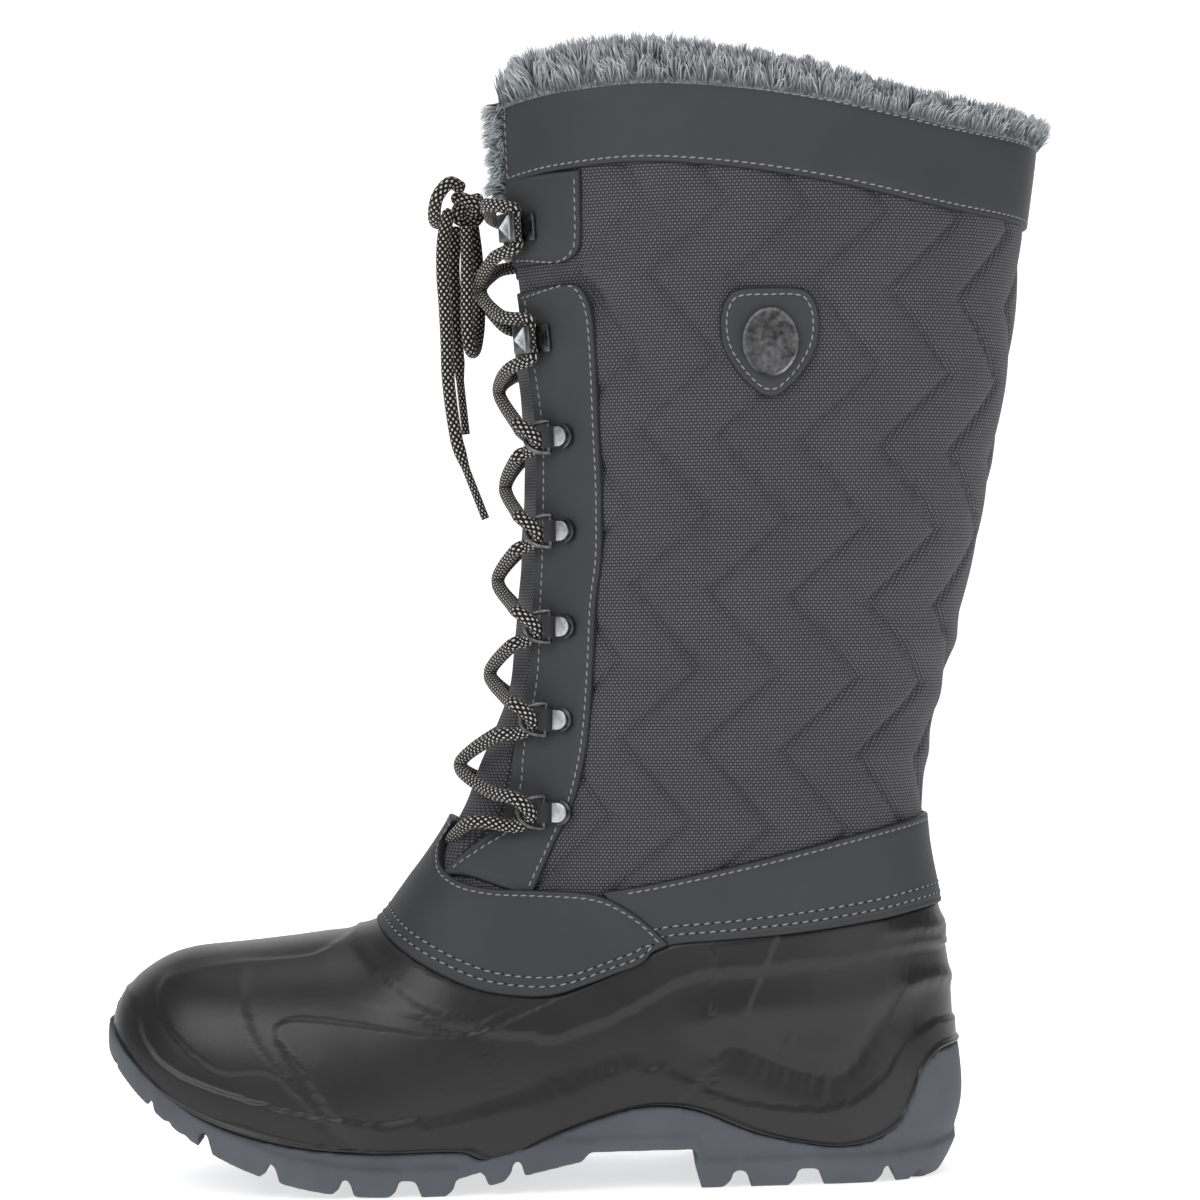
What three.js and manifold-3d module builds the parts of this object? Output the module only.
// A tall laced winter boot for the left foot, in millimetres. A moulded rubber shell on a lugged
// outsole carries a quilted shaft with a throat, a tongue, eyestays with rings and hooks, and a fur collar.
// X runs from the toe to the heel, Y from the outer side (-) to the inner side (+), Z is up,
// and the lugs stand on Z = 0. Every skin is the same last, grown or shrunk by its own distance.
import * as THREE from "three";
import { mergeVertices } from "three/addons/utils/BufferGeometryUtils.js";
import Module from "manifold-3d";

const wasm = await Module();
wasm.setup();

// Driving sizes of the last
const SHOE_LENGTH = 282;
const INSTEP_HEIGHT = 120;
const BOOT_HEIGHT = 358;
const BALL_WIDTH = 101.5;
const HEEL_WIDTH = 84;
const SHAFT_WIDTH = 115;
const SHAFT_DEPTH = 181.5;
const SHAFT_HEIGHT = BOOT_HEIGHT - INSTEP_HEIGHT;

// Walls and clearances
const GAP = 0.3;
const SHELL_WALL = 3.5;
const RAND_PROUD = 0.9;
const SHAFT_WALL = 5;
const LEATHER = 1.4;
const RIM_UNDER_LEATHER = 9;

// Outsole
const SOLE_HEIGHT = 15;
const SOLE_PROUD = 1.2;
const SHOULDER_PROUD = 2.2;
const SHOULDER_HEIGHT = 4;
const LUG_HEIGHT = 5.5;
const LUG_SPLIT = 5;
const ARCH_HEIGHT = 13;
const TOE_SPRING_RADIUS = 122;
const HEEL_BEVEL_RADIUS = 14;
const GROOVE_STEP = 1;
const FOOTBED_HEIGHT = 15;
const FOOTBED_STEP = 1;
const INSOLE_THICKNESS = 4;

// Throat and tongue
const THROAT_WIDTH = 43;
const THROAT_BOTTOM = 97;
const TONGUE_WALL = 4;
const TONGUE_BOTTOM = 92;
const TONGUE_TOP = 322;
const TONGUE_LEAN = 6;
const TONGUE_LEAN_FROM = 268;
const TONGUE_LEAN_TO = 302;
const WING_WIDTH = 11;

// Lacing: the middle height of each row of rings and of hooks, in shares of the shaft's height above
// the instep, and how far out they sit
const rowHeight = (share) => INSTEP_HEIGHT + share * SHAFT_HEIGHT;
const RING_HEIGHTS = [0.008, 0.1345, 0.2634, 0.3945, 0.5244].map(rowHeight);
const HOOK_HEIGHTS = [0.6605, 0.8126].map(rowHeight);
const HOOK_LIP = 0.25;
const RING_OUT = 30;
const HOOK_OUT = 30;
const LACE_DIAMETER = 4.4;
const LACE_OVER_TONGUE = 2.6;
const LACE_OVER_RING = 1.5;
const LACE_OVER_EDGE = 3.1;
const LACE_CLIMB = 5;
const RING_WIRE = 1.6;
const RING_WIDTH = 12;
const RING_REACH = 10;
const PLATE_WIDTH = 8;
const PLATE_LENGTH = 9;
const PLATE_THICKNESS = 1.2;
const HOOK_WIDTH = 9;
const HOOK_LENGTH = 10;
const HOOK_METAL = 1.3;
const KNOT_SIZE = 11;

// Collar, fur and badge
const COLLAR_BAND = 28;
const FUR_RISE = 9;
const FUR_OUT = 4;
const FUR_DEPTH = 14;
const FUR_DROP = 22;
const LAPEL_WIDTH = 8;
const LAPEL_BOTTOM = 331;
const LAPEL_DEPTH = 3;
const LOCK_LENGTH = 12.5;
const LOCK_WIDTH = 10;
const LOCKS_ROUND = 24;
const LOCK_LEANS = [0.2, 1.3];
const LOCK_SWING = 0.12;
const BADGE_WIDTH = 32;
const BADGE_HEIGHT = 35;
const BADGE_THICKNESS = 1.6;
const BADGE_BACK = 219;
const BADGE_UP = 273;
const EMBLEM_WIDTH = 18;
const EMBLEM_HEIGHT = 22;
const EMBLEM_THICKNESS = 1.8;

// How finely the skins are cut
const SECTIONS = 25;
const POINTS_ROUND = 18;
const FINE = 240;
const WIDE = 400;

// One row of the last for each cut through it. A cut is a plane that stands on a line from the
// back (or bottom) edge to the front (or top) edge of the side view.
const COLUMNS = [
  "frontX", "frontZ", "backX", "backZ", "outer", "inner", "widest", "frontPower", "backPower",
];

// x in shares of the shoe's length, z of the instep height, outer and inner of the ball width
const TOE_ROWS = [
  [0, 0.408, 0, 0.408, 0, 0, 0.5, 2, 2.1],
  [0.0064, 0.504, 0.0067, 0.292, 0.167, 0.167, 0.45, 2.05, 2.2],
  [0.032, 0.579, 0.033, 0.167, 0.296, 0.286, 0.42, 2.1, 2.4],
  [0.08, 0.636, 0.079, 0.05, 0.394, 0.369, 0.4, 2.2, 2.9],
  [0.157, 0.655, 0.157, -0.042, 0.468, 0.429, 0.36, 2.25, 3.6],
  [0.243, 0.678, 0.243, -0.067, 0.502, 0.473, 0.34, 2.2, 4],
  [0.312, 0.711, 0.335, -0.067, 0.512, 0.488, 0.34, 2.1, 4],
  [0.36, 0.838, 0.441, -0.067, 0.498, 0.458, 0.34, 2, 4],
  [0.392, 0.942, 0.555, -0.067, 0.463, 0.429, 0.36, 2, 4],
];

// x in shares of the shoe's length, z of the instep height, outer and inner of the heel width
const HEEL_ROWS = [
  [0.405, 0.996, 0.689, -0.067, 0.53, 0.512, 0.4, 2, 3.9],
  [0.4135, 1.035, 0.824, -0.067, 0.512, 0.512, 0.43, 2, 3.6],
  [0.419, 1.063, 0.9375, -0.033, 0.506, 0.506, 0.45, 2, 3.2],
  [0.424, 1.092, 0.9915, 0.167, 0.5, 0.5, 0.47, 2, 2.4],
  [0.429, 1.1225, 0.99, 0.4, 0.5, 0.5, 0.48, 2, 2.1],
  [0.434, 1.154, 0.985, 0.583, 0.5, 0.5, 0.48, 2, 2.1],
  [0.441, 1.192, 0.973, 0.75, 0.506, 0.506, 0.48, 2.05, 2.1],
  [0.451, 1.246, 0.96, 0.933, 0.512, 0.512, 0.49, 2.1, 2.1],
  [0.463, 1.317, 0.96, 1.117, 0.524, 0.524, 0.5, 2.1, 2.1],
];

// frontX in shares of the shoe's length, backX of the shaft's depth behind it, z of the shaft's
// height above the instep, outer and inner of the shaft's width
const SHAFT_ROWS = [
  [0.472, 0.206, 0.783, 0.147, 0.396, 0.396, 0.5, 2.1, 2.1],
  [0.4766, 0.265, 0.8127, 0.248, 0.413, 0.413, 0.5, 2.1, 2.1],
  [0.4855, 0.382, 0.84, 0.374, 0.439, 0.439, 0.5, 2.1, 2.1],
  [0.4897, 0.534, 0.8777, 0.534, 0.465, 0.465, 0.5, 2.1, 2.1],
  [0.4766, 0.672, 0.928, 0.672, 0.483, 0.483, 0.5, 2.1, 2.1],
  [0.4624, 0.832, 0.9675, 0.794, 0.496, 0.496, 0.5, 2.1, 2.1],
  [0.457, 0.996, 1, 0.929, 0.5, 0.5, 0.5, 2.1, 2.1],
  [0.454, 1.134, 1.019, 1.067, 0.5, 0.5, 0.5, 2.1, 2.1],
];

function named(row) {
  return Object.fromEntries(COLUMNS.map((name, i) => [name, row[i]]));
}

function footRow(row, width) {
  const r = named(row);
  return {
    ...r,
    frontX: r.frontX * SHOE_LENGTH,
    frontZ: r.frontZ * INSTEP_HEIGHT,
    backX: r.backX * SHOE_LENGTH,
    backZ: r.backZ * INSTEP_HEIGHT,
    outer: r.outer * width,
    inner: r.inner * width,
  };
}

function shaftRow(row) {
  const r = named(row);
  const frontX = r.frontX * SHOE_LENGTH;
  return {
    ...r,
    frontX,
    frontZ: INSTEP_HEIGHT + r.frontZ * SHAFT_HEIGHT,
    backX: frontX + r.backX * SHAFT_DEPTH,
    backZ: INSTEP_HEIGHT + r.backZ * SHAFT_HEIGHT,
    outer: r.outer * SHAFT_WIDTH,
    inner: r.inner * SHAFT_WIDTH,
  };
}

const ROWS = [
  ...TOE_ROWS.map((row) => footRow(row, BALL_WIDTH)),
  ...HEEL_ROWS.map((row) => footRow(row, HEEL_WIDTH)),
  ...SHAFT_ROWS.map(shaftRow),
];

// The row before the tip is the first row turned over, so that the toe closes round.
function rowAt(i) {
  if (i >= 0) return ROWS[Math.min(i, ROWS.length - 1)];
  const r = ROWS[1];
  return {
    ...r,
    frontX: r.backX,
    frontZ: r.backZ,
    backX: r.frontX,
    backZ: r.frontZ,
    outer: -r.outer,
    inner: -r.inner,
  };
}

// A cut of the last between two rows, at t from 0 at the toe to 1 at the top.
function cutAt(t) {
  const place = t * (ROWS.length - 1);
  const i = Math.min(Math.floor(place), ROWS.length - 2);
  const f = place - i;
  const [a, b, c, d] = [rowAt(i - 1), rowAt(i), rowAt(i + 1), rowAt(i + 2)];
  const cut = {};
  for (const name of COLUMNS) {
    cut[name] =
      0.5 *
      (2 * b[name] +
        (c[name] - a[name]) * f +
        (2 * a[name] - 5 * b[name] + 4 * c[name] - d[name]) * f ** 2 +
        (3 * b[name] - a[name] - 3 * c[name] + d[name]) * f ** 3);
  }
  return cut;
}

// A point on a cut's edge. Angle 0 is the front, a half turn is the back, and the outer side comes first.
function edgePoint(cut, angle) {
  const c = Math.cos(angle);
  const s = Math.sin(angle);
  const power = c > 0 ? cut.frontPower : cut.backPower;
  const along = Math.sign(c) * Math.abs(c) ** (2 / power);
  const across = Math.abs(s) ** (2 / power);
  const reach = c > 0 ? 1 - cut.widest : cut.widest;
  const share = cut.widest + along * reach;
  return new THREE.Vector3(
    cut.backX + share * (cut.frontX - cut.backX),
    s > 0 ? -across * cut.outer : across * cut.inner,
    cut.backZ + share * (cut.frontZ - cut.backZ),
  );
}

// The edge of a cut as evenly spaced points, from the front round the outer side.
function evenEdge(cut, count) {
  const dense = [];
  for (let i = 0; i <= FINE; i++) dense.push(edgePoint(cut, (i / FINE) * 2 * Math.PI));
  const walked = [0];
  for (let i = 1; i <= FINE; i++) walked.push(walked[i - 1] + dense[i].distanceTo(dense[i - 1]));
  const points = [];
  for (let k = 0, i = 0; k < count; k++) {
    const goal = (k / count) * walked[FINE];
    while (walked[i + 1] < goal) i++;
    const f = (goal - walked[i]) / (walked[i + 1] - walked[i] || 1);
    points.push(dense[i].clone().lerp(dense[i + 1], f));
  }
  return points;
}

const RINGS = Array.from({ length: SECTIONS }, (_, i) =>
  evenEdge(cutAt((i + 1) / SECTIONS), POINTS_ROUND),
);

function normalAt(i, j) {
  const below = i > 0 ? RINGS[i - 1][j] : edgePoint(cutAt(0), 0);
  const above = RINGS[Math.min(i + 1, SECTIONS - 1)][j];
  const before = RINGS[i][(j + POINTS_ROUND - 1) % POINTS_ROUND];
  const after = RINGS[i][(j + 1) % POINTS_ROUND];
  return after.clone().sub(before).cross(above.clone().sub(below)).normalize();
}

// A three.js geometry as a solid, for joining and cutting.
function solidOf(geometry) {
  const g = geometry.index ? geometry.toNonIndexed() : geometry.clone();
  g.deleteAttribute("normal");
  g.deleteAttribute("uv");
  const merged = mergeVertices(g, 1e-4);
  return new wasm.Manifold(
    new wasm.Mesh({
      numProp: 3,
      vertProperties: merged.attributes.position.array,
      triVerts: new Uint32Array(merged.index.array),
    }),
  );
}

function geometryOf(solid) {
  const mesh = solid.getMesh();
  return new THREE.BufferGeometry()
    .setAttribute("position", new THREE.BufferAttribute(mesh.vertProperties, 3))
    .setIndex(new THREE.BufferAttribute(mesh.triVerts, 1));
}

// A closed solid from rings of points, closed at each end by a fan round that end's middle.
function solidFromRings(rings, startPoint, endPoint) {
  const count = rings[0].length;
  const points = [startPoint, ...rings.flat(), endPoint];
  const at = (i, j) => 1 + i * count + (j % count);
  const last = points.length - 1;
  const faces = [];
  for (let j = 0; j < count; j++) {
    faces.push(0, at(0, j), at(0, j + 1));
    faces.push(last, at(rings.length - 1, j + 1), at(rings.length - 1, j));
    for (let i = 0; i + 1 < rings.length; i++) {
      faces.push(at(i, j), at(i + 1, j), at(i + 1, j + 1));
      faces.push(at(i, j), at(i + 1, j + 1), at(i, j + 1));
    }
  }
  const geometry = new THREE.BufferGeometry()
    .setAttribute("position", new THREE.Float32BufferAttribute(points.flatMap((p) => p.toArray()), 3))
    .setIndex(faces);
  const solid = solidOf(geometry);
  if (solid.volume() >= 0) return solid;
  const flipped = faces.map((_, k) => faces[k - (k % 3) + 2 - (k % 3)]);
  return solidOf(geometry.setIndex(flipped));
}

function middleOf(points) {
  return points
    .reduce((sum, p) => sum.add(p), new THREE.Vector3())
    .divideScalar(points.length);
}

// The last grown outwards by a distance, which may differ from point to point.
function lastGrown(distance) {
  const by = typeof distance === "function" ? distance : () => distance;
  const rings = RINGS.map((ring, i) =>
    ring.map((p, j) => p.clone().addScaledVector(normalAt(i, j), by(p))),
  );
  const tip = edgePoint(cutAt(0), 0);
  tip.x -= by(tip);
  return solidFromRings(rings, tip, middleOf(rings[rings.length - 1]));
}

// A solid that fills the side view's outline, from one side of the boot to the other.
function sideBlock(outline) {
  const shape = new THREE.Shape(outline.map(([x, z]) => new THREE.Vector2(x, z)));
  const block = new THREE.ExtrudeGeometry(shape, { depth: WIDE, bevelEnabled: false });
  return solidOf(block.rotateX(Math.PI / 2).translate(0, WIDE / 2, 0));
}

// A smooth line through a table of points, as [x, z] pairs.
function smoothLine(points, steps) {
  const curve = new THREE.SplineCurve(points.map(([x, z]) => new THREE.Vector2(x, z)));
  return curve.getPoints(steps).map((p) => [p.x, p.y]);
}

function raised(line, by) {
  return line.map(([x, z]) => [x, z + by]);
}

function heightOn(line, x) {
  const i = Math.max(0, line.findIndex((p, k) => k + 1 < line.length && line[k + 1][0] >= x));
  const [a, b] = [line[i], line[i + 1]];
  return a[1] + ((x - a[0]) / (b[0] - a[0])) * (b[1] - a[1]);
}

// Everything below, or above, a line that runs from the toe's side to the heel's side.
function below(line) {
  return sideBlock([[-WIDE, -WIDE], [WIDE * 2, -WIDE], [WIDE * 2, line.at(-1)[1]], ...line.toReversed(),
    [-WIDE, line[0][1]]]);
}

function above(line) {
  return sideBlock([[-WIDE, line[0][1]], ...line, [WIDE * 2, line.at(-1)[1]], [WIDE * 2, WIDE * 2],
    [-WIDE, WIDE * 2]]);
}

function footLine(table, height, steps) {
  return smoothLine(table.map(([x, z]) => [x * SHOE_LENGTH, z * height]), steps);
}

// The outsole's wavy top edge: x in shares of the shoe's length, z of the sole's height
const SOLE_TOP = footLine([
  [-0.02, 3.7], [0.001, 3.47], [0.029, 2.85], [0.066, 2.19], [0.138, 1.53], [0.219, 1.14], [0.305, 0.99],
  [0.403, 0.99], [0.427, 0.86], [0.446, 0.76], [0.478, 0.97], [0.511, 1.26], [0.579, 1.68],
  [0.629, 1.85], [0.681, 1.72], [0.748, 1.21], [0.815, 0.93], [0.849, 0.87], [0.883, 0.95],
  [0.912, 1.25], [0.927, 1.73], [0.939, 2.28], [0.954, 2.61], [0.974, 2.79], [1.03, 2.84],
], SOLE_HEIGHT, 26);

const footX = (share) => share * SHOE_LENGTH;

// Where the leather bands begin: x in shares of the shoe's length, z of the instep's height
const SHELL_TOP = footLine([
  [0.22, 0.86], [0.27, 0.79], [0.311, 0.706], [0.343, 0.647], [0.384, 0.592], [0.429, 0.548], [0.473, 0.529],
  [0.517, 0.528], [0.565, 0.5625], [0.618, 0.622], [0.655, 0.658], [0.715, 0.67], [0.804, 0.686],
  [0.895, 0.712], [0.942, 0.73], [0.974, 0.738], [1.05, 0.745],
], INSTEP_HEIGHT, 18);

// The front band's upper edge, with its raised tab at the front
const BIB_EDGE = footLine([
  [0.409, 0.98], [0.401, 0.957], [0.393, 0.921], [0.3915, 0.884], [0.394, 0.857], [0.407, 0.831],
  [0.424, 0.816], [0.4535, 0.806], [0.495, 0.804], [0.534, 0.802], [0.5585, 0.799], [0.585, 0.7825],
  [0.619, 0.735], [0.654, 0.66],
], INSTEP_HEIGHT, 20);

const HEEL_BAND_TOP = footLine([
  [0.5, 0.79], [0.567, 0.799], [0.629, 0.823], [0.7165, 0.866], [0.805, 0.913], [0.873, 0.949],
  [0.945, 0.983], [1.05, 1.03],
], INSTEP_HEIGHT, 10);

// The raised rand round the shell's foot
const RAND_TOP = footLine([
  [-0.03, 0.53], [0.028, 0.5], [0.045, 0.434], [0.075, 0.364], [0.115, 0.306], [0.162, 0.266], [0.234, 0.214],
  [0.3, 0.186], [0.371, 0.183], [0.418, 0.198], [0.493, 0.236], [0.535, 0.268], [0.58, 0.312], [0.626, 0.332],
  [0.67, 0.318], [0.724, 0.262], [0.777, 0.234], [0.838, 0.224], [0.885, 0.254], [0.915, 0.316],
  [0.938, 0.398], [0.958, 0.44], [1.05, 0.46],
], INSTEP_HEIGHT, 22);

// The eyestay's rear edge: x in shares of the shoe's length, z in shares of the boot's height
const STAY_EDGE = footLine([
  [0.33, 0.25], [0.45, 0.25], [0.493, 0.2695], [0.5095, 0.289], [0.525, 0.3155], [0.5435, 0.344],
  [0.557, 0.379], [0.5655, 0.416], [0.572, 0.474], [0.5765, 0.531], [0.5835, 0.571], [0.585, 0.611],
  [0.585, 0.6455], [0.583, 0.6885], [0.58, 0.7675], [0.571, 0.808], [0.5565, 0.821], [0.5275, 0.822],
  [0.5, 0.817], [0.33, 0.813],
], BOOT_HEIGHT, 24);

const TAB_EDGE = footLine([
  [0.33, 0.841], [0.5, 0.841], [0.548, 0.8405], [0.562, 0.846], [0.566, 0.862], [0.566, 0.88], [0.566, 1],
  [0.33, 1],
], BOOT_HEIGHT, 14);

const COLLAR_TOP = footLine([
  [0.33, 0.982], [0.4695, 0.994], [0.4965, 0.997], [0.543, 1.0015], [0.634, 1.004], [0.741, 0.996],
  [0.849, 0.982], [0.99, 0.9595], [1.106, 0.951], [1.2, 0.946],
], BOOT_HEIGHT, 12);

// Footbed: x in shares of the shoe's length, z of the footbed's height
const FOOTBED = footLine([
  [-0.03, 2.9], [0.037, 2.45], [0.072, 2], [0.143, 1.5], [0.214, 1.2], [0.32, 1], [0.427, 1],
  [0.569, 1.23], [0.71, 1.53], [0.852, 1.67], [1.05, 1.7],
], FOOTBED_HEIGHT, 16);

// Lugs from the toe to the heel: where each begins and ends, in shares of the shoe's length
const LUGS = [
  [0.121, 0.189], [0.199, 0.272], [0.284, 0.337], [0.36, 0.402], [0.437, 0.468], [0.479, 0.557],
  [0.681, 0.72], [0.738, 0.795], [0.822, 0.895], [0.906, 1.02],
];
const TOE_SOLID = 0.11;
const TOE_SPRING_START = 0.328;
const FOREFOOT_END = 0.405;
const WAIST_RISE = [[0.405, 0], [0.45, 0.28], [0.5, 0.55], [0.557, 0.81], [0.6, 1], [0.666, 1]];
const HEEL_START = 0.681;

function waistHeight(x) {
  return heightOn(footLine(WAIST_RISE, ARCH_HEIGHT, 8), x);
}

// The height that the lugs stand on, from the toe spring over the waist to the bevelled heel.
function treadHeight(x) {
  const spring = footX(TOE_SPRING_START) - x;
  if (spring > 0) {
    const reach = Math.min(spring, TOE_SPRING_RADIUS);
    return TOE_SPRING_RADIUS - Math.sqrt(TOE_SPRING_RADIUS ** 2 - reach ** 2);
  }
  if (x < footX(FOREFOOT_END)) return 0;
  if (x < footX(HEEL_START)) return waistHeight(x);
  const bevel = x - footX(1) - SHOULDER_PROUD + HEEL_BEVEL_RADIUS;
  if (bevel <= 0) return 0;
  return HEEL_BEVEL_RADIUS - Math.sqrt(HEEL_BEVEL_RADIUS ** 2 - Math.min(bevel, HEEL_BEVEL_RADIUS) ** 2);
}

// The height of the sole's body between the lugs.
function baseHeight(x) {
  if (x >= footX(FOREFOOT_END) && x <= footX(HEEL_START)) {
    return Math.min(waistHeight(x) + LUG_HEIGHT, ARCH_HEIGHT);
  }
  return treadHeight(x) + LUG_HEIGHT;
}

function lineOf(height, from, to, steps) {
  return Array.from({ length: steps + 1 }, (_, i) => {
    const x = footX(from + (i / steps) * (to - from));
    return [x, height(x)];
  });
}

// The sole's underside in the side view, with every lug and gap.
function soleUnderside() {
  const line = lineOf(treadHeight, -0.02, TOE_SOLID, 4);
  for (const [from, to] of LUGS) {
    const [start, end] = [footX(from), footX(to)];
    line.push([start, baseHeight(start)], ...lineOf(treadHeight, from, to, 1), [end, baseHeight(end)]);
  }
  return line;
}

// A solid between two sides of Y and two heights, over any x.
function slab(yFrom, yTo, zFrom, zTo) {
  const box = new THREE.BoxGeometry(WIDE * 3, yTo - yFrom, zTo - zFrom);
  return solidOf(box.translate(0, (yFrom + yTo) / 2, (zFrom + zTo) / 2));
}

function union(solids) {
  return solids.reduce((all, one) => all.add(one));
}

// The throat's space: a strip down the front of the shaft from the top to a bottom height.
function throatBlock(widerBy, bottom) {
  const half = THROAT_WIDTH / 2 + widerBy;
  const box = new THREE.BoxGeometry(SHAFT_MIDDLE + WIDE, half * 2, BOOT_HEIGHT * 2);
  return solidOf(box.translate((SHAFT_MIDDLE - WIDE) / 2, 0, bottom + BOOT_HEIGHT));
}

// Skins and blocks that several pieces share
const SHAFT_MIDDLE = footX(0.75);
const OUTER_SIDE = slab(-WIDE, 0, -WIDE, WIDE * 2);
const bareLast = lastGrown(0);
const leatherSkin = lastGrown(GAP + LEATHER).subtract(lastGrown(GAP));
const shellRim = raised(SHELL_TOP, RIM_UNDER_LEATHER);
const collarBottom = raised(COLLAR_TOP, -COLLAR_BAND);
const bibBlock = sideBlock([
  [-WIDE, BIB_EDGE[0][1]],
  ...BIB_EDGE,
  [BIB_EDGE.at(-1)[0], 0],
  [-WIDE, 0],
]);
const bibSeam = bibBlock.add(bibBlock.translate([GAP, 0, GAP]));

function makeOutsole() {
  const base = [...lineOf(treadHeight, -0.02, TOE_SOLID, 4), ...lineOf(baseHeight, TOE_SOLID, 1.02, 12)];
  const shoulder = lastGrown(SHOULDER_PROUD).intersect(below(raised(base, SHOULDER_HEIGHT)));
  const cup = lastGrown(-SHELL_WALL).intersect(above(raised(FOOTBED, -FOOTBED_STEP)));
  const walls = lastGrown(SOLE_PROUD)
    .add(shoulder)
    .intersect(below(raised(SOLE_TOP, -GAP)))
    .subtract(cup);
  const plug = lastGrown(-SHELL_WALL - GAP).intersect(below(FOOTBED));
  const split = LUG_SPLIT / 2;
  const groove = slab(-split, split, -WIDE, WIDE).intersect(below(raised(base, -GROOVE_STEP)));
  return walls.add(plug).intersect(above(soleUnderside())).subtract(groove);
}

function makeInsole() {
  return lastGrown(-SHELL_WALL - 2 * GAP)
    .intersect(above(raised(FOOTBED, GAP)))
    .intersect(below(raised(FOOTBED, GAP + INSOLE_THICKNESS)));
}

function makeShell() {
  return bareLast
    .add(lastGrown(RAND_PROUD).intersect(below(RAND_TOP)))
    .subtract(lastGrown(-SHELL_WALL))
    .intersect(above(SOLE_TOP))
    .intersect(below(shellRim));
}

function makeShaft() {
  return bareLast
    .subtract(lastGrown(-SHAFT_WALL))
    .intersect(above(raised(shellRim, GAP)))
    .intersect(below(COLLAR_TOP))
    .subtract(throatBlock(0, THROAT_BOTTOM));
}

// The tongue's face lies just under the last's surface and leans back near its top.
function tongueFace(point) {
  const share = THREE.MathUtils.smoothstep(point.z, TONGUE_LEAN_FROM, TONGUE_LEAN_TO);
  return -2 * GAP - TONGUE_LEAN * share;
}

function makeTongue() {
  const back = -SHAFT_WALL - 2 * GAP;
  const middle = lastGrown(tongueFace).intersect(throatBlock(-2 * GAP, THROAT_BOTTOM + GAP));
  const wings = lastGrown(back).intersect(throatBlock(WING_WIDTH, TONGUE_BOTTOM));
  return middle
    .add(wings)
    .subtract(lastGrown((p) => Math.min(back, tongueFace(p)) - TONGUE_WALL))
    .intersect(slab(-WIDE, WIDE, TONGUE_BOTTOM, TONGUE_TOP));
}

function makeVampBand() {
  return leatherSkin.intersect(bibBlock).intersect(above(SHELL_TOP));
}

function makeHeelBand() {
  return leatherSkin.intersect(above(SHELL_TOP)).intersect(below(HEEL_BAND_TOP)).subtract(bibSeam);
}

function makeEyestays() {
  const stay = leatherSkin
    .intersect(sideBlock(STAY_EDGE))
    .subtract(bibSeam)
    .subtract(throatBlock(0, 0));
  return [stay.intersect(OUTER_SIDE), stay.subtract(OUTER_SIDE)];
}

function makeTabs() {
  const tab = leatherSkin
    .intersect(sideBlock(TAB_EDGE))
    .intersect(below(raised(collarBottom, -GAP)))
    .subtract(throatBlock(0, 0));
  return [tab.intersect(OUTER_SIDE), tab.subtract(OUTER_SIDE)];
}

function makeCollarBand() {
  return leatherSkin
    .intersect(above(collarBottom))
    .intersect(below(COLLAR_TOP))
    .subtract(throatBlock(0, 0));
}

// A point of the last's surface, on the cut and at the angle where two measures reach their goals.
function lastPoint(z, passed) {
  let [low, high] = [0.4, 1];
  let point;
  for (let turn = 0; turn < 24; turn++) {
    const t = (low + high) / 2;
    const cut = cutAt(t);
    let [near, far] = [0, Math.PI];
    for (let step = 0; step < 24; step++) {
      const angle = (near + far) / 2;
      point = edgePoint(cut, angle);
      if (passed(point)) far = angle;
      else near = angle;
    }
    if (point.z < z) low = t;
    else high = t;
  }
  return point;
}

const outBy = (y) => (point) => Math.abs(point.y) >= y;
const backBy = (x) => (point) => point.x >= x;

function surfaceNormal(z, place, goal) {
  const up = lastPoint(z + 2, place(goal)).sub(lastPoint(z - 2, place(goal)));
  const back = lastPoint(z, place(goal + 2)).sub(lastPoint(z, place(goal - 2)));
  return back.cross(up).normalize();
}

// Where a piece sits: its point and its own axes, with x towards the throat and z out of the leather.
function seatOf(z, place, goal, side) {
  const point = lastPoint(z, place(goal));
  const out = surfaceNormal(z, place, goal);
  if (side === "inner") {
    point.y *= -1;
    out.y *= -1;
  }
  const forward = new THREE.Vector3(0, 0, 1).cross(out).normalize();
  if (forward.y * point.y > 0) forward.negate();
  const across = out.clone().cross(forward);
  return new THREE.Matrix4().makeBasis(forward, across, out).setPosition(point);
}

const ringSeats = (side) => RING_HEIGHTS.map((z) => seatOf(z, outBy, RING_OUT, side));
const hookSeats = (side) => HOOK_HEIGHTS.map((z) => seatOf(z, outBy, HOOK_OUT, side));
const LEATHER_FACE = GAP + LEATHER;
const BORE = RING_WIRE / 2 + GAP;
const TUNNEL = BORE + PLATE_THICKNESS;
const RING_LIFT = LEATHER_FACE + GAP + TUNNEL;

function tube(points, diameter, sides, stepLength) {
  const curve = new THREE.CatmullRomCurve3(points.map((p) => new THREE.Vector3(...p)));
  const circle = Array.from({ length: sides }, (_, i) => {
    const angle = (i / sides) * 2 * Math.PI;
    return new THREE.Vector2(Math.cos(angle), Math.sin(angle)).multiplyScalar(diameter / 2);
  });
  const steps = Math.max(2, Math.round(curve.getLength() / stepLength));
  const section = new THREE.Shape(circle);
  return new THREE.ExtrudeGeometry(section, { extrudePath: curve, steps, bevelEnabled: false });
}

// A flat outline given a thickness along z
function plate(outline, thickness) {
  const shape = new THREE.Shape(outline.map(([x, y]) => new THREE.Vector2(x, y)));
  return new THREE.ExtrudeGeometry(shape, { depth: thickness, bevelEnabled: false });
}

function arcPoints(centre, radius, from, to, steps) {
  return Array.from({ length: steps + 1 }, (_, i) => {
    const angle = from + (i / steps) * (to - from);
    return [centre[0] + radius * Math.cos(angle), centre[1] + radius * Math.sin(angle)];
  });
}

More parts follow.
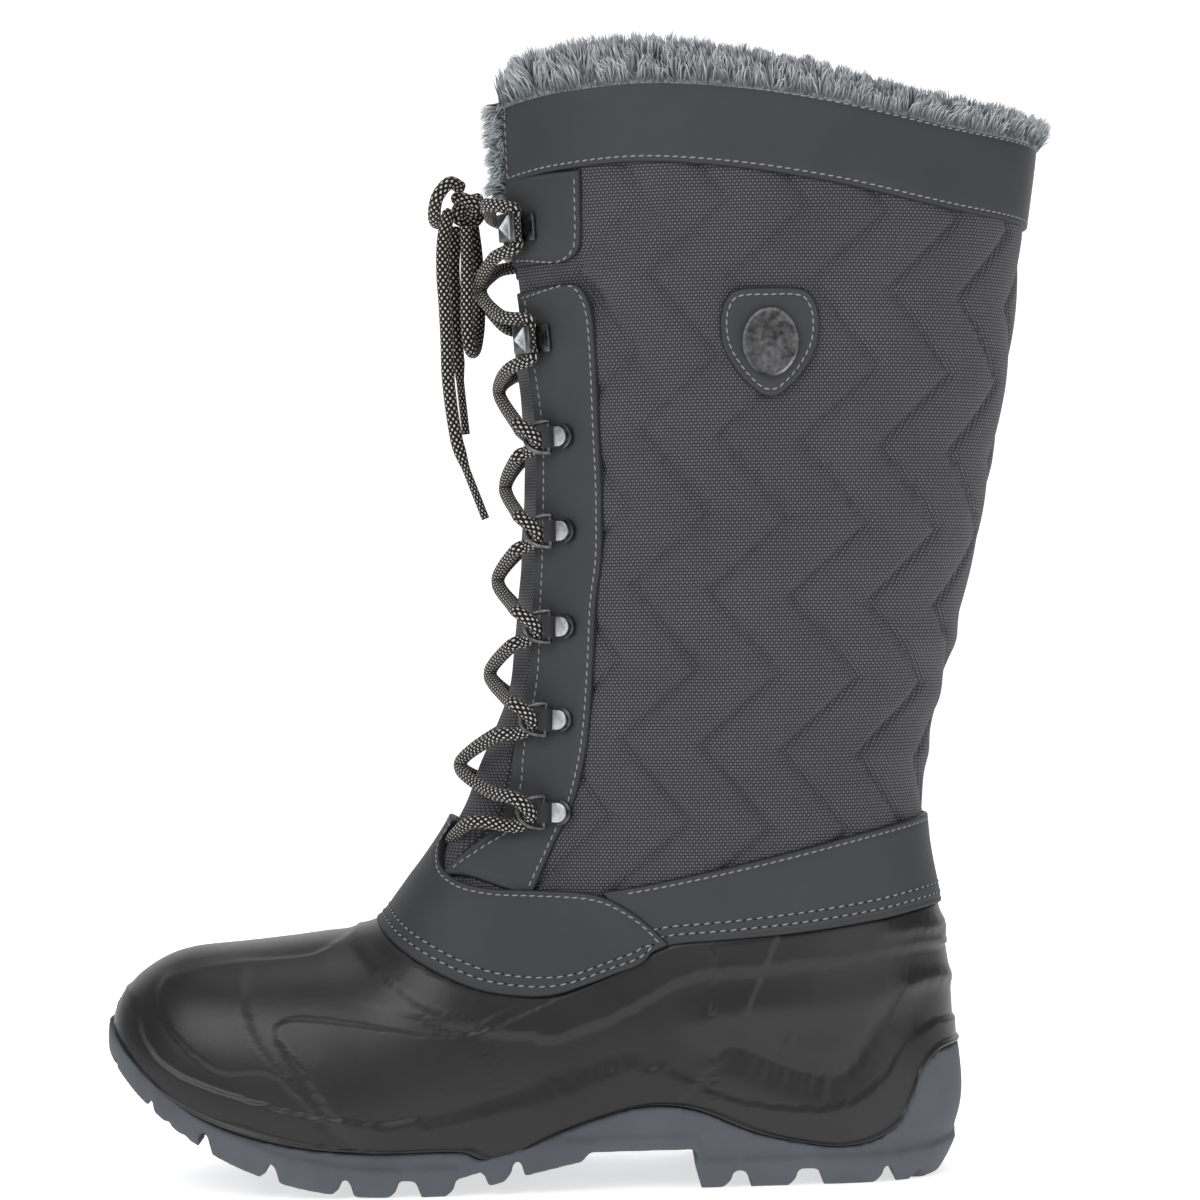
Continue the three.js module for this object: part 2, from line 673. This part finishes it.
// A D of round wire: a straight bar in the clip and a bow towards the throat.
function makeRing() {
  const half = (RING_WIDTH - RING_WIRE) / 2;
  const reach = RING_REACH - RING_WIRE;
  const bow = Array.from({ length: 7 }, (_, i) => {
    const angle = -Math.PI / 2 + (i / 6) * Math.PI;
    return [reach * Math.cos(angle) ** 0.8, half * Math.sin(angle), RING_LIFT];
  });
  const bar = new THREE.CylinderGeometry(RING_WIRE / 2, RING_WIRE / 2, half * 2 + RING_WIRE, 4);
  return solidOf(tube(bow, RING_WIRE, 4, 4)).add(solidOf(bar.translate(0, 0, RING_LIFT)));
}

// A strap plate with a round end that folds into a tunnel round the ring's bar.
function makeClip() {
  const fold = arcPoints([0, TUNNEL], TUNNEL, -Math.PI / 2, Math.PI, 6);
  const profile = [[-PLATE_LENGTH, 0], ...fold, [-TUNNEL, PLATE_THICKNESS], [-PLATE_LENGTH, PLATE_THICKNESS]];
  const shape = new THREE.Shape(profile.map(([x, y]) => new THREE.Vector2(x, y)));
  const bore = arcPoints([0, TUNNEL], BORE, 0, 2 * Math.PI * (5 / 6), 5);
  shape.holes.push(new THREE.Path(bore.map(([x, y]) => new THREE.Vector2(x, y))));
  const strap = new THREE.ExtrudeGeometry(shape, { depth: PLATE_WIDTH, bevelEnabled: false });
  strap.translate(0, 0, -PLATE_WIDTH / 2).rotateX(Math.PI / 2).translate(0, 0, LEATHER_FACE + GAP);
  const half = PLATE_WIDTH / 2;
  const roundEnd = arcPoints([half - PLATE_LENGTH, 0], half, Math.PI / 2, 1.5 * Math.PI, 4);
  const outline = plate([...roundEnd, [TUNNEL * 2, -half], [TUNNEL * 2, half]], WIDE);
  return solidOf(strap).intersect(solidOf(outline));
}

// A hook of folded sheet: a base on the leather, a bend on the throat's side and a face over the lace.
function makeHook() {
  const [low, high] = [LEATHER_FACE + GAP, LEATHER_FACE + GAP + 2 * HOOK_METAL + LACE_DIAMETER + 2 * GAP];
  const front = HOOK_LENGTH / 2;
  const profile = [
    [-front, low], [front - HOOK_METAL, low], [front, low + HOOK_METAL], [front, high - HOOK_METAL],
    [front - HOOK_METAL, high], [-HOOK_LENGTH * HOOK_LIP, high + HOOK_METAL / 2],
    [-HOOK_LENGTH * HOOK_LIP, high - HOOK_METAL / 2], [front - HOOK_METAL, high - HOOK_METAL],
    [front - HOOK_METAL, low + HOOK_METAL], [-front, low + HOOK_METAL],
  ];
  return plate(profile, HOOK_WIDTH).translate(0, 0, -HOOK_WIDTH / 2).rotateX(Math.PI / 2);
}

const inSeat = (seat, x, y, z) => new THREE.Vector3(x, y, z).applyMatrix4(seat);

// The lace's place inside one ring or hook, as one or two points.
function laceAtRing(seat) {
  const lift = RING_LIFT + RING_WIRE / 2 + LACE_DIAMETER / 2 + LACE_OVER_RING - GAP;
  return [inSeat(seat, RING_REACH * 0.55, 0, lift)];
}

function laceAtHook(seat, from) {
  const lift = LEATHER_FACE + GAP + HOOK_METAL + GAP + LACE_DIAMETER / 2;
  const forward = HOOK_LENGTH / 2 - HOOK_METAL - GAP - LACE_DIAMETER / 2;
  const half = HOOK_WIDTH / 2 + LACE_DIAMETER * 0.4;
  const ends = [inSeat(seat, forward, -half, lift), inSeat(seat, forward, half, lift)];
  return ends.sort((a, b) => Math.sign(b.distanceTo(from) - a.distanceTo(from)) * -1);
}

function overTongue(z) {
  const point = lastPoint(z, outBy(0));
  return point.setX(point.x - LACE_OVER_TONGUE - LACE_DIAMETER / 2);
}

// The lace bends over the edge of the leather on its way to and from a row.
function overEdge(z, side) {
  const lift = LEATHER_FACE + LACE_DIAMETER / 2 + LACE_OVER_EDGE;
  return inSeat(seatOf(z, outBy, THROAT_WIDTH / 2 - LACE_DIAMETER / 2, side), 0, 0, lift);
}

// One strand climbs from side to side. It crosses the other strand over the tongue between two rows.
function laceStrand(firstSide) {
  const seats = { outer: [...ringSeats("outer"), ...hookSeats("outer")] };
  seats.inner = [...ringSeats("inner"), ...hookSeats("inner")];
  const heights = [...RING_HEIGHTS, ...HOOK_HEIGHTS];
  const points = [overTongue(heights[0] - (heights[1] - heights[0]) * 0.35)];
  heights.forEach((z, row) => {
    const side = (row % 2 === 0) === (firstSide === "outer") ? "outer" : "inner";
    const seat = seats[side][row];
    const isRing = row < RING_HEIGHTS.length;
    const climb = isRing ? LACE_CLIMB : HOOK_WIDTH / 2 + LACE_DIAMETER;
    points.push(overEdge(z - climb, side));
    points.push(...(isRing ? laceAtRing(seat) : laceAtHook(seat, points.at(-1))));
    points.push(overEdge(z + climb, side));
    if (row + 1 < heights.length) points.push(overTongue((z + heights[row + 1]) / 2));
  });
  const clear = KNOT_SIZE / 2 + GAP + LACE_DIAMETER / 2;
  points.push(new THREE.Vector3(...KNOT_CENTRE).add(new THREE.Vector3(clear, 0, 0)));
  return points;
}

// A strand of lace bent at each of its points, with one ring of corners at every bend.
function strandSolid(points, sides) {
  let side = new THREE.Vector3(0, 0, 1);
  const rings = points.map((point, i) => {
    const ahead = points[Math.min(i + 1, points.length - 1)];
    const along = ahead.clone().sub(points[Math.max(i - 1, 0)]).normalize();
    side = side.clone().addScaledVector(along, -side.dot(along)).normalize();
    const other = along.clone().cross(side);
    return Array.from({ length: sides }, (_, k) => {
      const angle = (k / sides) * 2 * Math.PI;
      const corner = point.clone().addScaledVector(side, (Math.cos(angle) * LACE_DIAMETER) / 2);
      return corner.addScaledVector(other, (Math.sin(angle) * LACE_DIAMETER) / 2);
    });
  });
  return solidFromRings(rings, points[0], points.at(-1));
}

function makeLaceBars() {
  return union(["outer", "inner"].map((side) => strandSolid(laceStrand(side), 5)));
}

// The bow: where its knot, loops and ends lie, in millimetres from the toe, the middle and the floor
const KNOT_CENTRE = [120.9, 0, 323.4];
const BOW_CORDS = {
  lace_loop_front: [
    [118.9, -4, 329.8], [115.4, -8, 331], [111.4, -9, 326.5], [109.9, -4, 321], [110.4, 3, 319],
    [112.9, 6, 320], [115.3, 4.7, 322.6],
  ],
  lace_loop_hanging: [
    [122.4, 4.1, 317.4], [123.4, 8, 308], [123.8, 10, 297], [123.8, 10, 286], [122.9, 6, 278],
    [121.9, -1, 275], [120.9, -7, 278], [120.4, -9, 286], [120.6, -8.5, 297], [120.7, -5.5, 308],
    [120.5, -3.4, 316.7],
  ],
  lace_end_long: [
    [114.75, -3.9, 321.5], [112.9, -7, 312], [112.6, -9, 301], [113.2, -9, 290], [113.6, -8.6, 279],
    [113.9, -8, 265], [115.7, -7, 249], [117.9, -6, 239.6], [125.5, -5, 218.9],
  ],
  lace_end_short: [
    [117.2, 0.8, 317], [115.9, 0, 306], [116, 0, 295], [116.4, 0, 281], [117.4, 0, 267], [119.2, 0, 247.5],
  ],
};

function makeKnot() {
  return new THREE.SphereGeometry(KNOT_SIZE / 2, 10, 6).translate(...KNOT_CENTRE);
}

// A lock of the pile: a cone with its foot in the body of the fur.
function lock(foot, direction) {
  const cone = new THREE.ConeGeometry(LOCK_WIDTH / 2, LOCK_LENGTH, 3).translate(0, LOCK_LENGTH / 2, 0);
  const up = new THREE.Vector3(0, 1, 0);
  const turn = new THREE.Quaternion().setFromUnitVectors(up, direction.clone().normalize());
  return solidOf(cone.applyQuaternion(turn).translate(...foot.toArray()));
}

// The point on the collar's rim at an angle round the shaft.
function rimPoint(angle) {
  let [low, high] = [0.8, 1];
  let point;
  for (let turn = 0; turn < 24; turn++) {
    const t = (low + high) / 2;
    point = edgePoint(cutAt(t), angle);
    if (point.z < heightOn(COLLAR_TOP, point.x)) low = t;
    else high = t;
  }
  return point;
}

function makeFurCollar() {
  const top = below(raised(COLLAR_TOP, FUR_RISE));
  const ring = lastGrown(FUR_OUT).intersect(above(raised(COLLAR_TOP, GAP)));
  const lining = lastGrown(-SHAFT_WALL - GAP).intersect(above(raised(COLLAR_TOP, -FUR_DROP)));
  const lapels = lastGrown(FUR_OUT / 2)
    .intersect(throatBlock(-GAP, LAPEL_BOTTOM))
    .subtract(lastGrown(-SHAFT_WALL - LAPEL_DEPTH));
  const body = union([ring.subtract(lastGrown(-FUR_DEPTH)), lining.subtract(lastGrown(-FUR_DEPTH)), lapels])
    .intersect(top);
  const opened = body.subtract(throatBlock(-LAPEL_WIDTH, 0));
  const locks = [];
  for (let i = 0; i < LOCKS_ROUND; i++) {
    const angle = ((i + 0.5) / LOCKS_ROUND) * 2 * Math.PI;
    const rim = rimPoint(angle);
    const out = new THREE.Vector3(-Math.cos(angle), -Math.sin(angle), 0);
    const foot = rim.clone().addScaledVector(out, (FUR_OUT - FUR_DEPTH) / 2);
    foot.z += GAP + LOCK_WIDTH / 3;
    for (const lean of LOCK_LEANS) {
      const swing = angle + (i % 2 === 0 ? LOCK_SWING : -LOCK_SWING);
      const way = new THREE.Vector3(-Math.cos(swing), -Math.sin(swing), 0).multiplyScalar(Math.cos(lean));
      way.z = Math.sin(lean);
      if (Math.abs(foot.y) > THROAT_WIDTH / 2 || foot.x > SHAFT_MIDDLE) locks.push(lock(foot, way));
    }
  }
  return opened.add(union(locks).intersect(above(raised(COLLAR_TOP, GAP))));
}

function makeTongueFur() {
  const [low, high] = [TONGUE_TOP + GAP, TONGUE_TOP + FUR_RISE];
  const half = THROAT_WIDTH / 2 - LAPEL_WIDTH - GAP;
  const pile = lastGrown(-TONGUE_LEAN - 2 * GAP)
    .subtract(lastGrown(-TONGUE_LEAN - 2 * GAP - TONGUE_WALL))
    .intersect(slab(-half, half, low, high))
    .intersect(throatBlock(0, 0));
  const locks = [-0.6, 0, 0.6].map((share) => {
    const foot = lastPoint(high - LOCK_WIDTH / 2, outBy(Math.abs(share * half)));
    foot.x += TONGUE_LEAN + 2 * GAP + TONGUE_WALL / 2;
    foot.y = share * half;
    return lock(foot, new THREE.Vector3(-0.15, share * 0.3, 1));
  });
  return pile.add(union(locks).intersect(slab(-WIDE, WIDE, low, WIDE * 2)));
}

// The badge's patch: a rounded pick, wide at the top and narrow at the bottom
function patchOutline(width, height) {
  const half = [[0, 0.5], [0.36, 0.47], [0.48, 0.3], [0.48, 0], [0.34, -0.26], [0.14, -0.45]];
  const left = half.slice(1).map(([x, z]) => [-x, z]).toReversed();
  return smoothLine([...half, [0, -0.5], ...left, [0, 0.5]], 28)
    .slice(0, -1)
    .map(([x, z]) => [BADGE_BACK + x * width, BADGE_UP + z * height]);
}

function makeBadgePatch() {
  return lastGrown(GAP + BADGE_THICKNESS)
    .subtract(lastGrown(GAP))
    .intersect(sideBlock(patchOutline(BADGE_WIDTH, BADGE_HEIGHT)))
    .intersect(OUTER_SIDE);
}

// A plain oval plate with a raised rim
function makeBadgePlate() {
  const oval = (share) =>
    arcPoints([0, 0], 1, 0, 2 * Math.PI * (15 / 16), 15).map(([x, y]) => [
      (x * EMBLEM_WIDTH * share) / 2,
      (y * EMBLEM_HEIGHT * share) / 2,
    ]);
  const blank = solidOf(plate(oval(1), EMBLEM_THICKNESS));
  const dish = solidOf(plate(oval(0.8), EMBLEM_THICKNESS).translate(0, 0, EMBLEM_THICKNESS * 0.6));
  const lift = 2 * GAP + BADGE_THICKNESS;
  return blank.subtract(dish).translate([0, 0, lift]);
}

const FINISHES = {
  rubber: { color: 0x2c2c2e, roughness: 0.55, metalness: 0 },
  sole: { color: 0x5c626c, roughness: 0.75, metalness: 0 },
  cloth: { color: 0x4a494d, roughness: 0.95, metalness: 0 },
  leather: { color: 0x47494c, roughness: 0.7, metalness: 0 },
  felt: { color: 0x6a6c6e, roughness: 1, metalness: 0 },
  fur: { color: 0xa9adb0, roughness: 1, metalness: 0 },
  metal: { color: 0x55565a, roughness: 0.35, metalness: 1 },
  lace: { color: 0x1d1b1b, roughness: 0.9, metalness: 0 },
};

const boot = new THREE.Group();

function addPiece(name, shape, finish, place) {
  const geometry = shape.isBufferGeometry ? shape : geometryOf(shape);
  const mesh = new THREE.Mesh(geometry, new THREE.MeshStandardMaterial(FINISHES[finish]));
  mesh.name = name;
  if (place) place.decompose(mesh.position, mesh.quaternion, mesh.scale);
  boot.add(mesh);
}

addPiece("outsole", makeOutsole(), "sole");
addPiece("insole", makeInsole(), "felt");
addPiece("shell", makeShell(), "rubber");
addPiece("shaft", makeShaft(), "cloth");
addPiece("tongue", makeTongue(), "cloth");
addPiece("vamp_band", makeVampBand(), "leather");
addPiece("heel_band", makeHeelBand(), "leather");
const [outerStay, innerStay] = makeEyestays();
addPiece("eyestay_outer", outerStay, "leather");
addPiece("eyestay_inner", innerStay, "leather");
const [outerTab, innerTab] = makeTabs();
addPiece("tab_outer", outerTab, "leather");
addPiece("tab_inner", innerTab, "leather");
addPiece("collar_band", makeCollarBand(), "leather");
addPiece("fur_collar", makeFurCollar(), "fur");
addPiece("tongue_fur", makeTongueFur(), "fur");
addPiece("badge_patch", makeBadgePatch(), "leather");
addPiece("badge_plate", makeBadgePlate(), "metal", seatOf(BADGE_UP, backBy, BADGE_BACK, "outer"));
for (const side of ["outer", "inner"]) {
  ringSeats(side).forEach((seat, i) => {
    addPiece(`ring_${side}_${i + 1}`, makeRing(), "metal", seat);
    addPiece(`clip_${side}_${i + 1}`, makeClip(), "metal", seat);
  });
  hookSeats(side).forEach((seat, i) => addPiece(`hook_${side}_${i + 1}`, makeHook(), "metal", seat));
}
addPiece("lace_bars", makeLaceBars(), "lace");
addPiece("lace_knot", makeKnot(), "lace");
for (const [name, points] of Object.entries(BOW_CORDS)) {
  addPiece(name, tube(points, LACE_DIAMETER, 8, 9), "lace");
}

// The origin lies on the floor under the middle of the boot.
const solids = boot.children.filter((mesh) => !(mesh.name in BOW_CORDS) && mesh.name !== "lace_knot");
const box = solids.reduce((all, mesh) => all.expandByObject(mesh, true), new THREE.Box3());
boot.position.set(-(box.min.x + box.max.x) / 2, -(box.min.y + box.max.y) / 2, -box.min.z);

export default boot;
